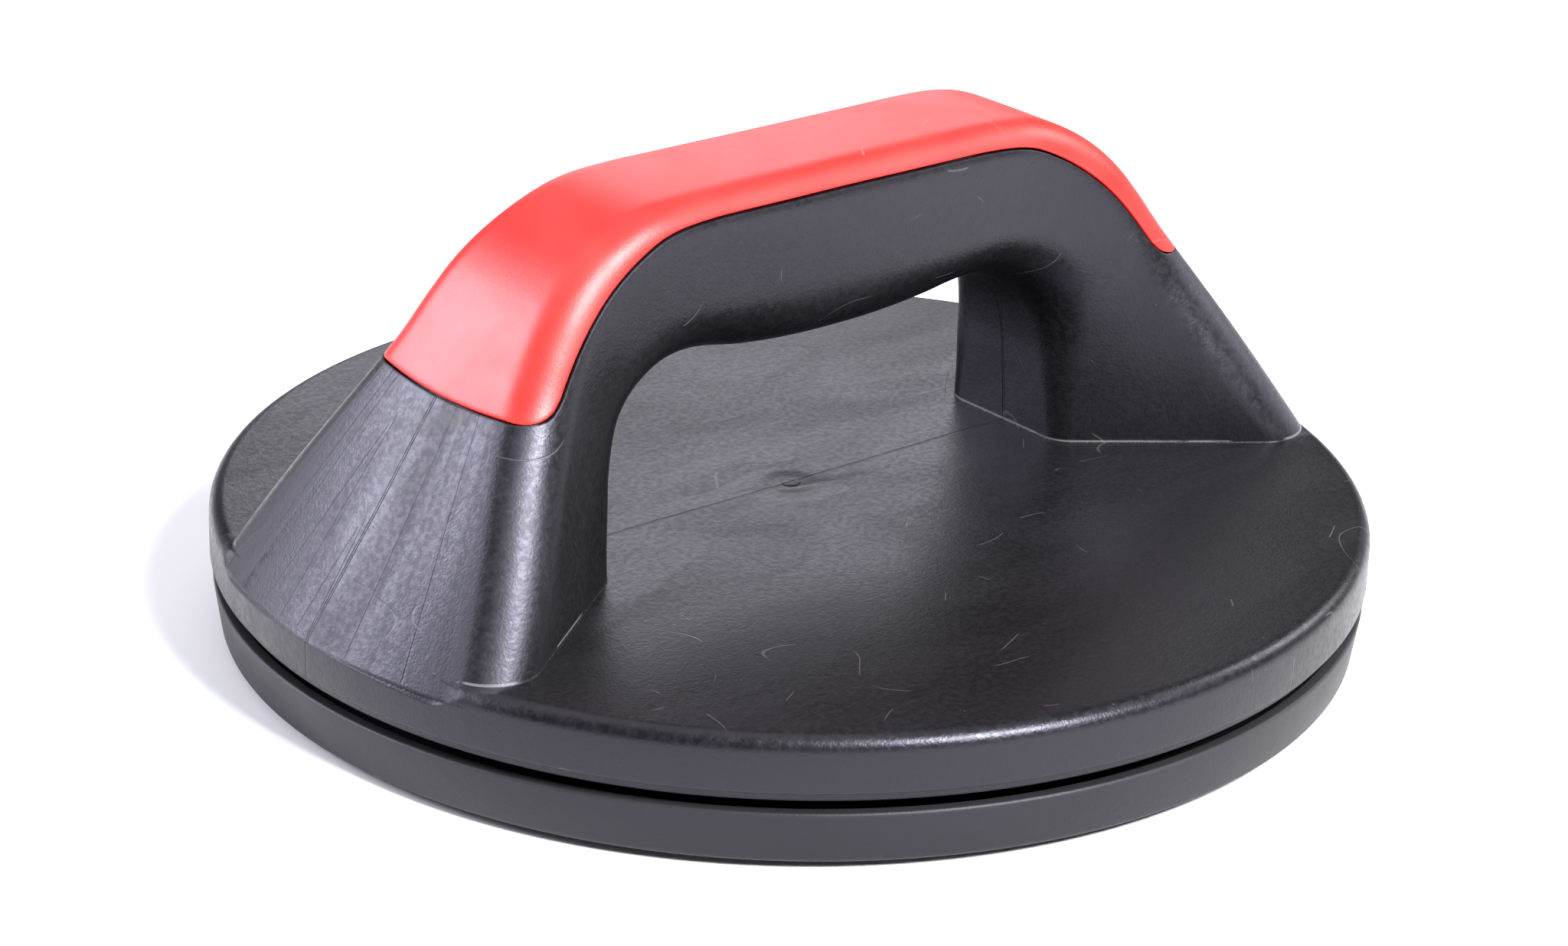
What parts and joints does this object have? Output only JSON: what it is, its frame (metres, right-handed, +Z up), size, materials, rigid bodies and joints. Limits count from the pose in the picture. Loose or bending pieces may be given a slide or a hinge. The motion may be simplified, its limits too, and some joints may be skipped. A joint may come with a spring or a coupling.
{
  "type": "rotating push-up handle",
  "caption": "Rotating push-up handle: black arched grip with a red top cover on a round turntable that turns on a ball-bearing base.",
  "frame": {"origin": "centre of the floor ring's underside, on the axis of rotation", "axes": "+Z up along the axis of rotation, +X along the grip, +Y across it"},
  "size_m": [0.22, 0.22, 0.0937],
  "materials": {
    "housing_black": "satin moulded black plastic, fine grain, light scuffs",
    "base_black": "satin moulded black plastic",
    "cover_red": "satin moulded coral-red plastic",
    "ring_rubber": "matte non-slip rubber",
    "cage_nylon": "natural nylon",
    "race_steel": "pressed steel",
    "ball_steel": "polished bearing steel",
    "screw_zinc": "zinc-plated steel"
  },
  "bodies": {
    "base": {"floor_ring": "ring_rubber", "base_plate": "base_black", "lower_race": "race_steel"},
    "cage": {"ball_cage": "cage_nylon", "ball_01": "ball_steel", "ball_02": "ball_steel", "ball_03": "ball_steel", "ball_04": "ball_steel", "ball_05": "ball_steel", "ball_06": "ball_steel", "ball_07": "ball_steel", "ball_08": "ball_steel", "ball_09": "ball_steel", "ball_10": "ball_steel", "ball_11": "ball_steel", "ball_12": "ball_steel", "ball_13": "ball_steel", "ball_14": "ball_steel", "ball_15": "ball_steel", "ball_16": "ball_steel"},
    "turntable": {"top_housing": "housing_black", "grip_cover": "cover_red", "upper_race": "race_steel", "cover_screw_right": "screw_zinc", "cover_screw_left": "screw_zinc", "pivot_bush": "cage_nylon", "pivot_washer": "screw_zinc", "pivot_screw": "screw_zinc"}
  },
  "joints": [
    {"name": "handle_spin", "type": "hinge", "parent": "base", "child": "turntable", "pos_m": [0, 0, 0.0127], "axis": [0, 0, 1], "continuous": true},
    {"name": "cage_spin", "type": "hinge", "parent": "base", "child": "cage", "pos_m": [0, 0, 0.0127], "axis": [0, 0, 1], "continuous": true}
  ],
  "couplings": [
    {"joint": "cage_spin", "follows": "handle_spin", "ratio": 0.5}
  ]
}
